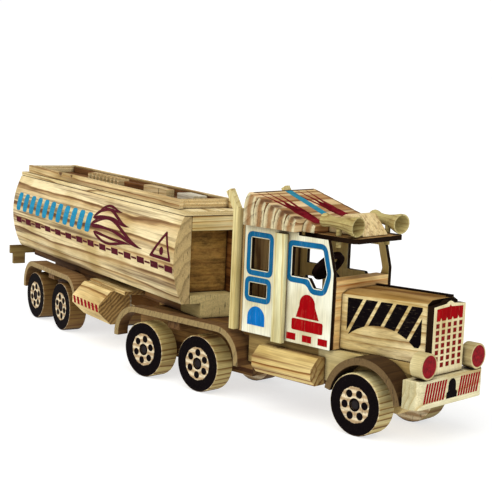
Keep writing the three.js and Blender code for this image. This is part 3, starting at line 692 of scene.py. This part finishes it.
def finish_tractor_side(side, sign):
    timber(f"cab_side_{side}", TRACTOR, grain="z", light=PALE, middle=srgb(232, 230, 202),
        dark=srgb(212, 200, 156), contrast=0.3, streaks=0, clean="y",
        lining=("y", -sign, srgb(250, 226, 172)))
    timber(f"cab_strip_{side}", TRACTOR, grain="z", light=srgb(230, 227, 182), middle=srgb(208, 196, 142),
        dark=TAN, ring=3.2, contrast=0.6, wave=3, streaks=0.15)
    timber(f"headlamp_{side}", TRACTOR, light=srgb(210, 196, 146), middle=srgb(178, 156, 104), contrast=0.6,
        streaks=0.3, end_tint=srgb(214, 192, 140), paint=lens_paint(sign))
    timber(f"front_fender_{side}", TRACTOR, light=srgb(78, 56, 32), middle=srgb(58, 39, 22),
        streak_color=srgb(48, 28, 16), end_tint=srgb(108, 86, 54), **MUDGUARD)
    timber(f"drive_fender_{side}", TRACTOR, light=srgb(110, 80, 46), middle=srgb(82, 54, 28),
        streak_color=srgb(56, 32, 18), end_tint=srgb(150, 128, 84), end_beyond=34.5, **MUDGUARD)
    timber(f"fuel_tank_{side}", TRACTOR, light=srgb(220, 196, 132), middle=srgb(172, 128, 68),
        dark=srgb(112, 66, 28), ring=3.6, contrast=1.0, wave=7, streaks=0.75, streak_color=srgb(104, 56, 24),
        pith=(8, 12), end_tint=srgb(140, 110, 66))
    timber(f"exhaust_{side}", TRACTOR, grain="z", light=srgb(222, 208, 150), middle=srgb(194, 172, 110),
        ring=2.4, contrast=0.6, wave=3, streaks=0.25, end_tint=srgb(216, 206, 154))
    timber(f"horn_{side}", TRACTOR, light=srgb(198, 184, 124), middle=srgb(160, 138, 84), dark=MOSS,
        ring=2.4, wave=3, streaks=0.35, streak_color=srgb(112, 84, 44), end_tint=srgb(206, 192, 136))


# The early, late and darkest wood of each tread. The trailer's wheels are brown wood with painted shade from the
# tank above them, and the far (left) wheels carry painted shade, the drive wheels most.
HONEY = srgb(112, 80, 40)
# brown wood darkened further with painted shade from the tank above
SHADED_BROWN = (srgb(116, 88, 46), srgb(92, 64, 32), COCOA)
TREADS = {
    "front": {"right": (srgb(216, 202, 146), srgb(172, 146, 88), HONEY),
              "left": (srgb(160, 146, 96), srgb(120, 98, 56), HONEY)},
    "drive": {"right": (srgb(186, 168, 110), srgb(150, 124, 74), HONEY),
              "left": (srgb(96, 70, 42), srgb(74, 50, 28), COCOA)},
    "trailer": {"right": SHADED_BROWN, "left": SHADED_BROWN},
}


def finish_wheelset(name, place):
    timber(f"{name}_axle", place, edge=0.25, grain="y", light=srgb(90, 72, 48), middle=COCOA, dark=CHAR,
        end_tint=srgb(30, 26, 28), end_mix=0.97, contrast=0.6)
    for side in SIDES:
        light, middle, dark = TREADS[name.split("_")[0]][side]
        timber(f"{name}_wheel_{side}", place, edge=0.3, grain="y", light=light, middle=middle, dark=dark,
            contrast=1.0, wave=6, streaks=0.35, streak_color=srgb(104, 74, 38), pith=(4, 60),
            end_tint=srgb(228, 210, 174), end_mix=0.95, end_lines=0.4,
            end_bands=(4.2, 0, srgb(168, 138, 100), (0, 0, 1)))


def finish_trailer():
    # painted shade: dark timber where the bed lies under the tank, pale at its front block
    timber("trailer_bed", TRAILER, light=srgb(134, 96, 56), middle=srgb(92, 58, 30), dark=COCOA,
        contrast=0.9, streaks=0.9, streak_color=srgb(58, 32, 16), end_tint=srgb(216, 196, 136), end_mix=0.9,
        pale_from=(-34, srgb(210, 192, 134), srgb(80, 54, 30)))
    timber("rear_plate", TRAILER, grain="y", light=srgb(138, 118, 70), middle=srgb(104, 82, 44), dark=COCOA,
        contrast=0.7, end_mix=0)
    for wall in ("front", "rear"):
        timber(f"tank_{wall}_wall", TRAILER, grain="y", light=srgb(176, 138, 72), middle=srgb(140, 92, 46),
            dark=srgb(108, 70, 36), ring=26, contrast=0.5, wave=30, streaks=0.4,
            streak_color=srgb(104, 54, 26), fine=0.2, end_mix=0, mottled=1)
    for side, sign in SIDES.items():
        finish_trailer_side(side, sign)


def finish_trailer_side(side, sign):
    timber(f"tank_side_{side}", TRAILER, light=srgb(240, 221, 172), middle=srgb(206, 173, 118),
        dark=srgb(120, 84, 48), ring=7.5, contrast=1.0, wave=6, streaks=0.8, streak_color=srgb(104, 72, 42),
        fine=0.24, pith=(60, 20), end_tint=srgb(196, 170, 117), end_mix=0.95, end_lines=0.4,
        # painted shade on the faces turned into the tank
        lining=("y", -sign, srgb(150, 108, 70)))
    timber(f"trailer_fender_{side}", TRAILER, light=srgb(132, 102, 64), middle=srgb(100, 70, 40),
        end_tint=srgb(156, 132, 88), end_beyond=34.5, **MUDGUARD)
    timber(f"side_locker_{side}", TRAILER, light=srgb(236, 212, 152), middle=srgb(204, 166, 102),
        dark=srgb(128, 86, 40), ring=3.0, wave=5, streaks=0.35, pith=(10, 6), end_tint=srgb(158, 124, 70),
        end_mix=0.95, end_lines=0.4, end_bands=(2.7, 0, srgb(92, 62, 30), (0, sign * 0.7, 0.7)),
        # painted shade on the inner face, which lies under the tank
        lining=("y", -sign, srgb(140, 108, 76)))


def finish_tank_top():
    """The boards on top of the tank. The frame and the lid show the long sides of their cross boards."""
    RAIL_KNOTS = ((-236, -22, 128, 3.4), (-212, -22, 128, 2.4), (-150, 21, 128, 2.6))
    timber("tank_top_board", TRAILER, grain="y", light=srgb(250, 234, 180), middle=srgb(226, 196, 132),
        dark=srgb(164, 122, 68), contrast=0.9, wave=4, streaks=0.3, end_mix=0)
    timber("tank_lid", TRAILER, light=srgb(244, 226, 176), middle=srgb(214, 188, 130),
        dark=srgb(120, 80, 42), ring=4.5, streaks=0.45, streak_color=srgb(112, 74, 40), fine=0.3,
        end_tint=srgb(240, 222, 170), end_mix=1, end_planks=True)
    timber("hatch_frame", TRAILER, light=srgb(226, 200, 144), middle=srgb(192, 154, 96),
        dark=srgb(112, 70, 34), ring=4.5, streak_color=srgb(100, 58, 28), fine=0.4,
        end_tint=srgb(238, 218, 166), end_mix=1, end_planks=True, knots=RAIL_KNOTS)


def finish_all_nodes():
    finish_chassis()
    finish_cab()
    finish_roof()
    finish_nose()
    for side, sign in SIDES.items():
        finish_tractor_side(side, sign)
    for name, place in WHEELSETS.items():
        finish_wheelset(name, place)
    finish_trailer()
    finish_tank_top()


# ---- prints ----
QUARTER_LIGHT = rect(-98.3, -82.7, 92, 113.2)
LOCKER_LIGHT = rect(-99, -83.5, 74, 82.8)
DOOR_LIGHT = [
    (-62, 111.5), (-36.4, 111.9), (-32.3, 97), (-35.5, 86.8), (-42.8, 86.7), (-47, 92.5), (-62, 92.4)]


def print_windows(side, surface):
    """A blue border round each window, a little way off its edge."""
    OUTER, INNER = 4.1, 0.7
    blue = Print()
    for window in (QUARTER_LIGHT, LOCKER_LIGHT, DOOR_LIGHT):
        blue.shape(smooth_corners(grown(window, OUTER), 5), [smooth_corners(grown(window, INNER), 1.8)])
    blue.lay(f"cab_blue_{side}", surface, TRACTOR, "printed_ply", BLUE, grain="z")


def print_arch(side, surface):
    """A blue arch below the windows behind the door."""
    MIDDLE, HALF, FOOT, SPRING = -91.85, 7.85, 54.4, 59.4
    arch = [(MIDDLE - HALF, FOOT), (MIDDLE + HALF, FOOT)] + arc(MIDDLE, SPRING, HALF, 0, 180, 16)
    Print().shape(arch).lay(f"cab_arch_{side}", surface, TRACTOR, "printed_ply", SKY, grain="z")


def print_emblem(side, surface):
    """A plain red bell shape on the door, over a bar and three blocks."""
    BLOCK_STARTS, BLOCK_LONG = (-64, -50.4, -37), 7.8
    red = Print()
    for start in BLOCK_STARTS:
        red.shape(rect(start, start + BLOCK_LONG, 50.6, 55))
    red.shape(smooth_corners(rect(-60, -33.5, 57.5, 65), 1.5))
    red.shape([(-56.5, 66.2), (-37, 66.2), (-40.5, 74)] + arc(-47.3, 75.2, 6.6, 0, 180, 12) + [(-53.9, 74)])
    red.lay(f"cab_red_{side}", surface, TRACTOR, "printed_ply", CRIMSON, grain="z")


def hood_narrowing(x):
    """How far along the bonnet a point is, 0 at its rear and 1 at its front."""
    return (x - HOOD_REAR_X) / (HOOD_FRONT_X - HOOD_REAR_X)


def print_louvres(side, sign):
    """Slanted black louvres on the side of the bonnet, over a low arch."""
    REAR, FRONT, FOOT = -21.5, 33.3, 59.2
    SLANT, PITCH, GAP = 0.53, 11.0, 2.6
    TOP, LEVEL, GAP_AT_TOP = 84, 61, -8.6

    def surface(u, v, h):
        half = HOOD_REAR_HALF + (HOOD_FRONT_HALF - HOOD_REAR_HALF) * hood_narrowing(u)
        return u, sign * (half + h), v

    first_gap = GAP_AT_TOP + SLANT * (LEVEL - TOP)
    arch = arc(4, 30.3, 38, 49, 129, 20)
    region = [(FRONT, 84.5), (REAR, 83.2), (REAR, 61.5)] + arch[::-1] + [(FRONT, FOOT)]
    along = Vector((SLANT, 1)).normalized()
    forwards = Vector((along.y, -along.x))
    louvres = Print()
    for i in range(-1, 5):
        rear = (first_gap + PITCH * i + GAP / 2, LEVEL)
        front = (first_gap + PITCH * (i + 1) - GAP / 2, LEVEL)
        louvres.shape(region, clips=[(front, -forwards)] + ([(rear, forwards)] if i >= 0 else []))
    louvres.lay(f"hood_louvres_{side}", surface, TRACTOR, "pine", INK, f"hood_{side}_ink", worn=0.22)


def make_bonnet_edge():
    """A charred strip that stands proud along the bonnet's left top edge and turns in at its front."""
    HEIGHT = 1.3
    OUTLINE = [(-25.8, 13.2), (34, 13.2), (34, 8.5), (36.6, 8.5), (36.6, 14.9), (-25.8, 14.9)]

    def surface(u, v, h):
        t = hood_narrowing(u)
        narrower = 1 + (HOOD_FRONT_HALF / HOOD_REAR_HALF - 1) * t
        return u, v * narrower, HOOD_TOP + HOOD_RISE * t + h * HEIGHT / FILM_UP

    Print().shape(OUTLINE).lay(
        "bonnet_edge", surface, TRACTOR, "printed_ply", srgb(24, 14, 10), "bonnet_edge_char", worn=0.3,
        under=COCOA)


def print_radiator():
    """A red header with a notched lower edge, over a grid of small red squares."""
    COLUMN, ROW, TOP_ROW = 6.05, 4.1, 74
    HALF_WIDE, HALF_TALL = 1.65, 1.4
    EDGE, LOW, HIGH = 13.7, 77, 84.5
    NOTCH_HALF, NOTCH_TOP = 1.1, 79
    surface = on_front(RADIATOR_X)
    header = [(-EDGE, HIGH), (-EDGE, LOW)]
    for i in range(-2, 2):
        notch = COLUMN * (i + 0.5)
        header += [(notch - NOTCH_HALF, LOW), (notch, NOTCH_TOP), (notch + NOTCH_HALF, LOW)]
    header += [(EDGE, LOW), (EDGE, HIGH), (1.2, 85.2), (0, 86.4), (-1.2, 85.2)]
    squares = Print()
    for i in range(-2, 3):
        for j in range(7):
            u = COLUMN * i
            v = TOP_ROW - ROW * j
            squares.shape(rect(u - HALF_WIDE, u + HALF_WIDE, v - HALF_TALL, v + HALF_TALL))
    Print().shape(header).lay(
        "radiator_red", surface, TRACTOR, "printed_ply", CRIMSON, "radiator_ink", grain="z")
    squares.lay(
        "radiator_squares", surface, TRACTOR, "printed_ply", srgb(118, 20, 20), "squares_ink", grain="z")


def print_bumper():
    """Slanted red stripes either side of a plain black keystone."""
    LOW, HIGH, LEAN, PITCH, WIDTH = 29, 41.2, 2.8, 2.75, 1.85
    GROUPS, STRIPES = (-29.5, 6.4), 8
    surface = on_front(BUMPER_X)
    stripes = Print()
    for start in GROUPS:
        for i in range(STRIPES):
            u = start + PITCH * i
            stripes.shape([(u, LOW), (u + WIDTH, LOW), (u + WIDTH + LEAN, HIGH), (u + LEAN, HIGH)])
    stripes.lay(
        "bumper_red", surface, TRACTOR, "crimson_paint", srgb(142, 12, 22), "bumper_ink", grain="y", worn=0.2)
    foot = [(-5.6, 28.9), (5.6, 28.9), (5.6, 32.4), (4.1, 33.4)]
    keystone = foot + arc(0, 37.2, 3.9, 0, 180, 10) + [(-4.1, 33.4), (-5.6, 32.4)]
    Print().shape(keystone).lay(
        "bumper_keystone", surface, TRACTOR, "black_paint", INK, "keystone_ink", grain="y", worn=0.15)


def roof_surface(u, v, h):
    """u runs forwards along the roof and v to the left."""
    return u, v, ROOF_PEAK - ROOF_SLOPE * (u - ROOF_REAR_X) + h


def print_roof_stripe():
    """Thin scorched lines along the rear and left edges, and a blue stripe along the middle."""
    edge = Print().shape(rect(ROOF_REAR_X + 0.3, ROOF_REAR_X + 1.6, -26.5, 34))
    edge.shape(rect(ROOF_REAR_X + 1.9, -57.5, 34.2, 35.1))
    edge.lay(
        "roof_scorch", roof_surface, TRACTOR, "pine", srgb(66, 38, 22), grain="y", worn=0.6, under=UMBER)
    stripe = [(-102.2, 4), (-48, -4), (-48, 2.6), (-102.2, 11)]
    Print().shape(stripe).lay("roof_blue", roof_surface, TRACTOR, "pine", srgb(44, 128, 150), grain="y")


def print_roof_darts(side, sign):
    """A group of dark red darts that widen forwards into one body."""
    # Where each dart's tip and foot lie along and across the roof, and half the width of its foot.
    DARTS = ((-101, 15.6, -70, 16.4, 1.7), (-98.6, 7, -68, 13.4, 1.5), (-87, 22.6, -64, 19.4, 1.7),
             (-101, 24.5, -76, 19.6, 1.2), (-84, 10, -58, 13.5, 1.3))
    BODY = ((-82, 16.4), (-76, 16.4), (-68, 16.8), (-58, 17.6), (-50, 18.8))
    BODY_HALVES = (1.2, 3.6, 6.0, 5.2, 3.4)
    BOW = 0.8
    darts = Print()
    for tip, tip_y, foot, foot_y, half in DARTS:
        bend = ((tip + foot) / 2, sign * (tip_y + foot_y) / 2 + BOW)
        line = [(tip, sign * tip_y), bend, (foot, sign * foot_y)]
        darts.shape(ribbon(line, [0.1, half * 0.8, half]))
    darts.shape(ribbon([(u, sign * v) for u, v in BODY], BODY_HALVES))
    darts.lay(f"roof_red_{side}", roof_surface, TRACTOR, "pine", WINE, grain="y")


def tank_surface(sign):
    """The bulging side of the tank: u runs forwards and v upwards."""
    half = (TANK_TOP - TANK_BOTTOM) / 2
    bulge = TANK_WIDE - TANK_EDGE
    radius = (half * half + bulge * bulge) / (2 * bulge)
    middle = TANK_BOTTOM + half

    def surface(u, v, h):
        angle = math.asin((v - middle) / radius)
        return (u, sign * (TANK_WIDE - radius + (radius + h) * math.cos(angle)),
                middle + (radius + h) * math.sin(angle))
    return surface


TANK_CUTS = [TANK_BOTTOM + 2 * i for i in range(8, 30)]


def print_tank_bars(side, sign):
    """A row of leaning blue bars with round corners."""
    BARS, START, PITCH, LONG, LEAN, LOW, HIGH = 11, -315, 15.4, 9.5, 3.5, 88.5, 104.5
    bars = Print()
    for i in range(BARS):
        u = START + PITCH * i
        bar = [(u, LOW), (u + LONG, LOW), (u + LONG + LEAN, HIGH), (u + LEAN, HIGH)]
        bars.shape(smooth_corners(bar, 3.2))
    bars.lay(
        f"tank_bars_{side}", tank_surface(sign), TRAILER, "pine", TEAL, f"tank_blue_{side}_ink", TANK_CUTS)


def leaf(start, low, end, high, bow, width):
    """A curved pointed leaf from (start, low) to (end, high), and the smaller one inside its outline."""
    LINE, THINNEST = 1.9, 0.06
    OUTER_STEPS, INNER_STEPS = 24, 20
    INNER_START, INNER_REACH = 0.06, 0.62

    def centre(t):
        sway = bow * math.sin(math.tau * t * 0.75)
        return start + (end - start) * t, low + (high - low) * t + sway

    def half_width(t):
        return width * math.sin(math.pi * t ** 0.6)

    outer = [k / OUTER_STEPS for k in range(OUTER_STEPS + 1)]
    inner = [INNER_START + INNER_REACH * k / INNER_STEPS for k in range(INNER_STEPS + 1)]
    tapers = [math.sin(math.pi * k / INNER_STEPS) for k in range(INNER_STEPS + 1)]
    inner_halves = [max(THINNEST, (half_width(t) - LINE) * taper) for t, taper in zip(inner, tapers)]
    outside = ribbon([centre(t) for t in outer], [0.08 + half_width(t) for t in outer])
    inside = ribbon([centre(t) for t in inner], [0.08 + half for half in inner_halves])
    return outside, inside


def print_tank_wave(maroon):
    """Four outlined leaves behind each other."""
    for leaf_shape in (
            (-150, 95, -54, 93.5, 5, 4.8), (-147, 101, -80, 106, 4.5, 4.0),
            (-143, 90.5, -74, 86.5, -2.2, 3.4), (-138, 107, -98, 113, 2.2, 2.4)):
        outside, inside = leaf(*leaf_shape)
        maroon.shape(outside, [inside])


def print_tank_dashes(maroon):
    """A row of dashes with thinner ones between them."""
    DASHES, START, PITCH, LONG = 14, -314.5, 22.9, 12
    THIN_FROM, THIN_TO = 13.2, 21.8
    for i in range(DASHES):
        u = START + PITCH * i
        maroon.shape(rect(u, u + LONG, 77.7, 82.4))
        if i < DASHES - 1:
            maroon.shape(rect(u + THIN_FROM, u + THIN_TO, 79.4, 80.8))


def print_tank(side, sign):
    """Generic livery: blue bars, and in maroon a wave of leaves, a triangle with a dot, and dashes."""
    TRIANGLE, LINE = [(-42, 85.4), (-6.5, 85.4), (-18.5, 107)], 2.4
    print_tank_bars(side, sign)
    maroon = Print()
    print_tank_wave(maroon)
    maroon.shape(smooth_corners(TRIANGLE, 2.5), [smooth_corners(grown(TRIANGLE, -LINE), 1.2)])
    maroon.shape(disc(-22.5, 91.6, 3.0, 20))
    print_tank_dashes(maroon)
    maroon.lay(f"tank_maroon_{side}", tank_surface(sign), TRAILER, "pine", MAROON, v_cuts=TANK_CUTS)


def print_locker(side, sign):
    """Slanted red stripes on the side of a locker."""
    STRIPES, START, PITCH, WIDTH, LEAN, LOW, HIGH = 7, -161.5, 7.2, 4.4, 2.4, 30.8, 36.2
    stripes = Print()
    for i in range(STRIPES):
        u = START + PITCH * i
        stripes.shape([(u + LEAN, LOW), (u + LEAN + WIDTH, LOW), (u + WIDTH, HIGH), (u, HIGH)])
    surface = on_side(LOCKER_OUT, sign)
    stripes.lay(f"locker_red_{side}", surface, TRAILER, "pine", srgb(140, 14, 26), f"locker_{side}_ink")


def print_wheel(name, place, side, sign):
    """A black tyre with a rough inner edge, six bolt spots and a ring round the hub, on a wheel's outer face."""
    RING_OUT, RING_IN, RING_STEPS = 19.2, 11.6, 72
    SPOTS, SPOTS_AT, SPOT_R = 6, 7.9, 2.5
    HUB_OUT, HUB_IN = 4.2, 3.15
    turn = 360 * seed_of(name + side)[0]
    inner_edge = []
    for i in range(RING_STEPS):
        angle = math.tau * i / RING_STEPS
        radius = RING_IN + 0.16 * math.sin(11 * angle) + 0.12 * math.sin(29 * angle + 1)
        inner_edge.append((radius * math.cos(angle), radius * math.sin(angle)))
    black = Print()
    black.shape(disc(0, 0, RING_OUT, RING_STEPS), [inner_edge])
    for i in range(SPOTS):
        angle = math.radians(turn + 360 / SPOTS * i)
        black.shape(disc(SPOTS_AT * math.cos(angle), SPOTS_AT * math.sin(angle), SPOT_R, 16))
    black.shape(disc(0, 0, HUB_OUT, 28), [disc(0, 0, HUB_IN, 28)])
    surface = on_side(WHEEL_OUT, sign, WHEEL_R)
    black.lay(f"{name}_tyre_{side}", surface, place, "wheel_pine", INK, grain="y", worn=0.08)


def make_prints():
    for side, sign in SIDES.items():
        cab_surface = on_side(CAB_OUT, sign)
        print_windows(side, cab_surface)
        print_arch(side, cab_surface)
        print_emblem(side, cab_surface)
        print_louvres(side, sign)
        print_tank(side, sign)
        print_locker(side, sign)
        for name, place in WHEELSETS.items():
            print_wheel(name, place, side, sign)
    make_bonnet_edge()
    print_radiator()
    print_bumper()
    print_roof_stripe()
    for side, sign in SIDES.items():
        print_roof_darts(side, sign)


# ---- small trim ----
def make_hatch_lining(deck):
    """Painted shade inside the hatch surround: a dark sheet on the lid and two dark sheets along the inner faces
    of its rails.
    """
    FLOOR, LINING = 0.8, 5.6
    along = (-302, -24)
    # painted shade: the dark timber of the sheets that stand for the shade in the hatch recess
    dark = wood(
        "hatch_lining_wood", TRAILER, light=srgb(128, 86, 46), middle=srgb(88, 52, 26), dark=CHAR, ring=3,
        streaks=0.9)
    block("hatch_shade_floor", TRAILER, along, (-19, 19), (deck, deck + FLOOR), dark, 0.2)
    for side, sign in SIDES.items():
        y = sorted((sign * 19.1, sign * 17.9))
        block(f"hatch_lining_{side}", TRAILER, along, y, (deck, deck + LINING), dark, 0.2)


def make_hatch_blocks(deck):
    """Blocks, a plate, a loose stick and a comb of posts that lie on the lid inside the surround."""
    POSTS, FIRST_POST, POST_PITCH, POST_LONG = 9, -236, 7.4, 3.2
    pale = wood("hatch_block_wood", TRAILER, ring=3)
    brown = wood("hatch_stick_wood", TRAILER, light=UMBER, middle=srgb(104, 62, 30), dark=COCOA, ring=2.5)
    grey = wood(
        "hatch_plate_wood", TRAILER, light=srgb(222, 214, 190), middle=srgb(186, 176, 150),
        dark=srgb(140, 128, 104), ring=3)
    block("hatch_block_1", TRAILER, (-122, -96), (1, 9), (deck, deck + 7.4), pale)
    block("hatch_block_2", TRAILER, (-95.6, -83), (1.3, 8.6), (deck, deck + 7.0), pale)
    block("hatch_plate", TRAILER, (-68, -42), (3, 15), (deck, deck + 6.4), grey)
    block("hatch_stick", TRAILER, (-168, -124), (6, 9.5), (deck, deck + 5.6), brown, lean=1.5)
    for i in range(POSTS):
        x = FIRST_POST + POST_PITCH * i
        along = (x, x + POST_LONG)
        block(f"hatch_post_{i + 1}", TRAILER, along, (3, 13), (deck, deck + 6.6), pale, 0.3)


def make_hatch_trim():
    deck = LID_TOP + 0.1
    make_hatch_lining(deck)
    make_hatch_blocks(deck)


# ---- stage ----
def make_floor():
    """A sheet of white paper, 120 metres wide, that glows faintly so that it runs into the backdrop."""
    REACH = 60
    mesh = bpy.data.meshes.new("floor")
    corners = [(-REACH, -REACH, 0), (REACH, -REACH, 0), (REACH, REACH, 0), (-REACH, REACH, 0)]
    mesh.from_pydata(corners, [], [(0, 1, 2, 3)])
    floor = new_object("floor", mesh)
    paper = Shader("white_paper")
    settings = {"Base Color": (0.40, 0.40, 0.39, 1), "Roughness": 0.9, "Emission Color": (1, 1, 1, 1),
                "Emission Strength": 0.66}
    for socket, value in settings.items():
        paper.bsdf.inputs[socket].default_value = value
    mesh.materials.append(paper.material)


def make_backdrop():
    """White low down, and a softer and dimmer ceiling above."""
    WALL, CEILING = 1.02, 0.36
    FADE_FROM, FADE_TO = 0.12, 0.3
    world = bpy.data.worlds.new("studio")
    world.use_nodes = True
    nodes = world.node_tree.nodes
    links = world.node_tree.links
    background = nodes["Background"]
    background.inputs["Color"].default_value = (1, 1, 1, 1)
    direction = nodes.new("ShaderNodeTexCoord")
    split = nodes.new("ShaderNodeSeparateXYZ")
    fade = nodes.new("ShaderNodeMapRange")
    levels = {"From Min": FADE_FROM, "From Max": FADE_TO, "To Min": WALL, "To Max": CEILING}
    for socket, value in levels.items():
        fade.inputs[socket].default_value = value
    links.new(direction.outputs["Generated"], split.inputs["Vector"])
    links.new(split.outputs["Z"], fade.inputs["Value"])
    links.new(fade.outputs["Result"], background.inputs["Strength"])
    bpy.context.scene.world = world


def make_light(name, direction, strength, width):
    """A sun that shines from a direction, its disc this many degrees wide."""
    light = bpy.data.lights.new(name, "SUN")
    light.energy = strength
    light.angle = math.radians(width)
    new_object(name, light).rotation_euler = Vector(direction).to_track_quat("Z", "Y").to_euler()


def make_camera():
    """A long lens from the lorry's right front quarter, a little above it and slightly rolled."""
    AZIMUTH, ELEVATION, ROLL = (math.radians(a) for a in (43.409, 7.796, 2.397))
    SIDEWAYS, UPWARDS, DISTANCE, LENS = -50.33, 48.04, 882.68, 95.95
    TARGET_X, TARGET_Z = -60, 60
    back = Vector((
        math.sin(AZIMUTH) * math.cos(ELEVATION), -math.cos(AZIMUTH) * math.cos(ELEVATION),
        math.sin(ELEVATION)))
    level = Vector((math.cos(AZIMUTH), math.sin(AZIMUTH), 0))
    up = level.cross(-back)
    right = math.cos(ROLL) * level + math.sin(ROLL) * up
    top = -math.sin(ROLL) * level + math.cos(ROLL) * up
    offset = right * SIDEWAYS + top * UPWARDS + back * DISTANCE
    place = TRACTOR.point(TARGET_X + offset.x, offset.y, TARGET_Z + offset.z)
    data = bpy.data.cameras.new("camera")
    data.lens = LENS
    data.sensor_width = 36
    camera = new_object("camera", data)
    camera.matrix_world = Matrix.Translation(place) @ Matrix((right, top, back)).transposed().to_4x4()
    bpy.context.scene.camera = camera


def make_stage():
    """The paper and the backdrop, a wide key from the right and above, and a weak fill on the nose."""
    make_floor()
    make_backdrop()
    make_light("key", (0.1, -0.56, 0.82), strength=2.5, width=64)
    make_light("fill", (0.9, -0.25, 0.35), strength=0.6, width=60)
    make_camera()
    bpy.context.scene.view_settings.view_transform = "Standard"


finish_all_nodes()
make_prints()
make_hatch_trim()
make_stage()
